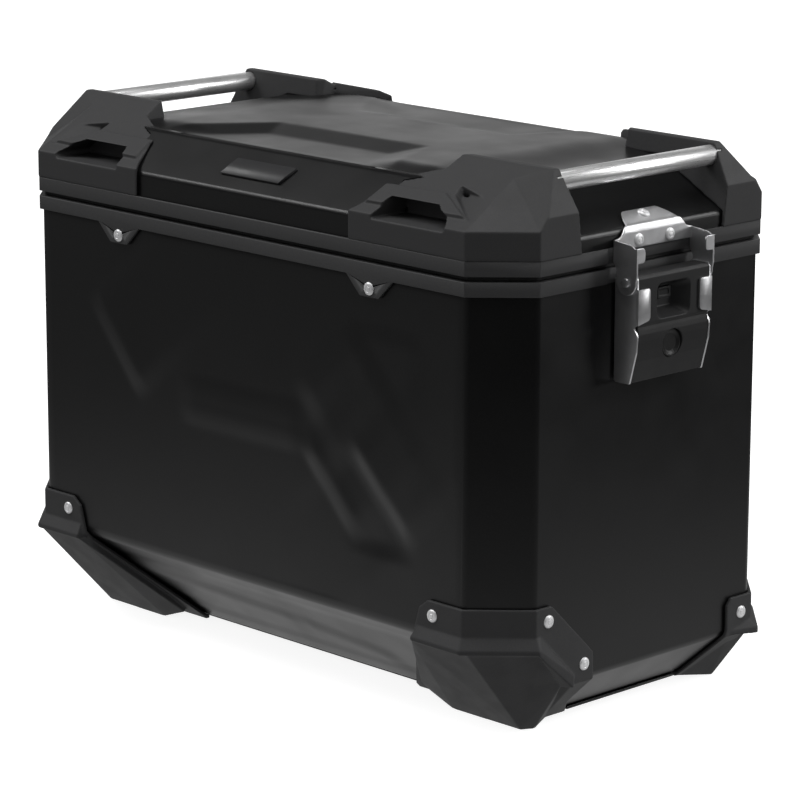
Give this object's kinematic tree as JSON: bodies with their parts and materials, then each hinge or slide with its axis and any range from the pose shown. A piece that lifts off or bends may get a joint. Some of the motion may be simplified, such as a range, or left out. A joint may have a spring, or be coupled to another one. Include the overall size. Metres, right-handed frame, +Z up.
{
  "type": "motorcycle top case",
  "caption": "Hard aluminium motorcycle luggage case with bevelled lower edges, moulded corner guards, lashing slots, end handle bars and a latch at each end.",
  "frame": {"origin": "middle of the case's footprint, on the plane of the feet's undersides", "axes": "+Z up, X along the case from latch to latch, -Y towards the outer side with the large lower bevel"},
  "size_m": [0.5496, 0.302, 0.3898],
  "materials": {
    "coated_aluminium": "satin black powder-coated aluminium sheet",
    "corner_plastic": "fine-grained black moulded plastic",
    "rim_plastic": "matte black moulded rim",
    "lever_plastic": "matte black moulded cover",
    "bracket_steel": "satin stainless steel sheet",
    "rivet_aluminium": "bright aluminium rivet heads",
    "tube_aluminium": "satin anodised aluminium tube",
    "seal_rubber": "soft black sealing rubber",
    "lock_plastic": "dark dished lock face",
    "spring_steel": "drawn spring wire",
    "badge_metal": "satin dark plate with a bright edge"
  },
  "bodies": {
    "case": {"body_shell": "coated_aluminium", "bottom_plate": "coated_aluminium", "bottom_inserts": "bracket_steel", "body_rim": "rim_plastic", "rim_rivets": "rivet_aluminium", "foot_rivets": "rivet_aluminium", "foot_front_right": "corner_plastic", "foot_front_left": "corner_plastic", "foot_back_right": "corner_plastic", "foot_back_left": "corner_plastic", "striker_right": "bracket_steel", "striker_left": "bracket_steel", "striker_rivets": "rivet_aluminium"},
    "lid": {"lid_shell": "coated_aluminium", "lid_rim": "rim_plastic", "lid_seal": "seal_rubber", "lid_badge": "badge_metal", "cap_front_right": "corner_plastic", "cap_front_left": "corner_plastic", "cap_back_right": "corner_plastic", "cap_back_left": "corner_plastic", "cap_screws": "bracket_steel", "handle_tube_right": "tube_aluminium", "handle_tube_left": "tube_aluminium", "bracket_rivets": "rivet_aluminium", "lid_bracket_right": "bracket_steel", "lid_bracket_left": "bracket_steel", "latch_pin_right": "bracket_steel", "latch_pin_left": "bracket_steel"},
    "lever_right": {"lever_frame_right": "bracket_steel", "lever_cover_right": "lever_plastic", "cover_screws_right": "bracket_steel", "catch_hook_right": "bracket_steel", "button_spring_right": "spring_steel"},
    "lock_right": {"lock_cylinder_right": "lock_plastic", "lock_cam_right": "bracket_steel"},
    "button_right": {"release_button_right": "lock_plastic"},
    "slider_right": {"catch_slider_right": "bracket_steel"},
    "lever_left": {"lever_frame_left": "bracket_steel", "lever_cover_left": "lever_plastic", "cover_screws_left": "bracket_steel", "catch_hook_left": "bracket_steel", "button_spring_left": "spring_steel"},
    "lock_left": {"lock_cylinder_left": "lock_plastic", "lock_cam_left": "bracket_steel"},
    "button_left": {"release_button_left": "lock_plastic"},
    "slider_left": {"catch_slider_left": "bracket_steel"}
  },
  "joints": [
    {"name": "lid_hinge", "type": "hinge", "parent": "case", "child": "lid", "pos_m": [-0.265, 0, 0.3116], "axis": [0, -1, 0], "range_deg": [0, 70]},
    {"name": "lever_right_hinge", "type": "hinge", "parent": "lid", "child": "lever_right", "pos_m": [0.265, 0, 0.3116], "axis": [0, -1, 0], "range_deg": [0, 95]},
    {"name": "lock_right_turn", "type": "hinge", "parent": "lever_right", "child": "lock_right", "pos_m": [0.265, 0, 0.2665], "axis": [1, 0, 0], "range_deg": [0, 90]},
    {"name": "button_right_push", "type": "slide", "parent": "lever_right", "child": "button_right", "axis": [-1, 0, 0], "range_m": [0, 0.003], "stiffness_N_per_m": 300, "springref_m": -0.004, "deforming": ["button_spring_right"]},
    {"name": "slider_right_lift", "type": "slide", "parent": "lever_right", "child": "slider_right", "axis": [0, 0, 1], "range_m": [0, 0.003]},
    {"name": "lever_left_hinge", "type": "hinge", "parent": "case", "child": "lever_left", "pos_m": [-0.265, 0, 0.3116], "axis": [0, 1, 0], "range_deg": [0, 35]},
    {"name": "lock_left_turn", "type": "hinge", "parent": "lever_left", "child": "lock_left", "pos_m": [-0.265, 0, 0.2665], "axis": [-1, 0, 0], "range_deg": [0, 90]},
    {"name": "button_left_push", "type": "slide", "parent": "lever_left", "child": "button_left", "axis": [1, 0, 0], "range_m": [0, 0.003], "stiffness_N_per_m": 300, "springref_m": -0.004, "deforming": ["button_spring_left"]},
    {"name": "slider_left_lift", "type": "slide", "parent": "lever_left", "child": "slider_left", "axis": [0, 0, 1], "range_m": [0, 0.003]}
  ],
  "couplings": [
    {"joint": "slider_right_lift", "follows": "button_right_push", "ratio": 1},
    {"joint": "slider_left_lift", "follows": "button_left_push", "ratio": 1}
  ]
}
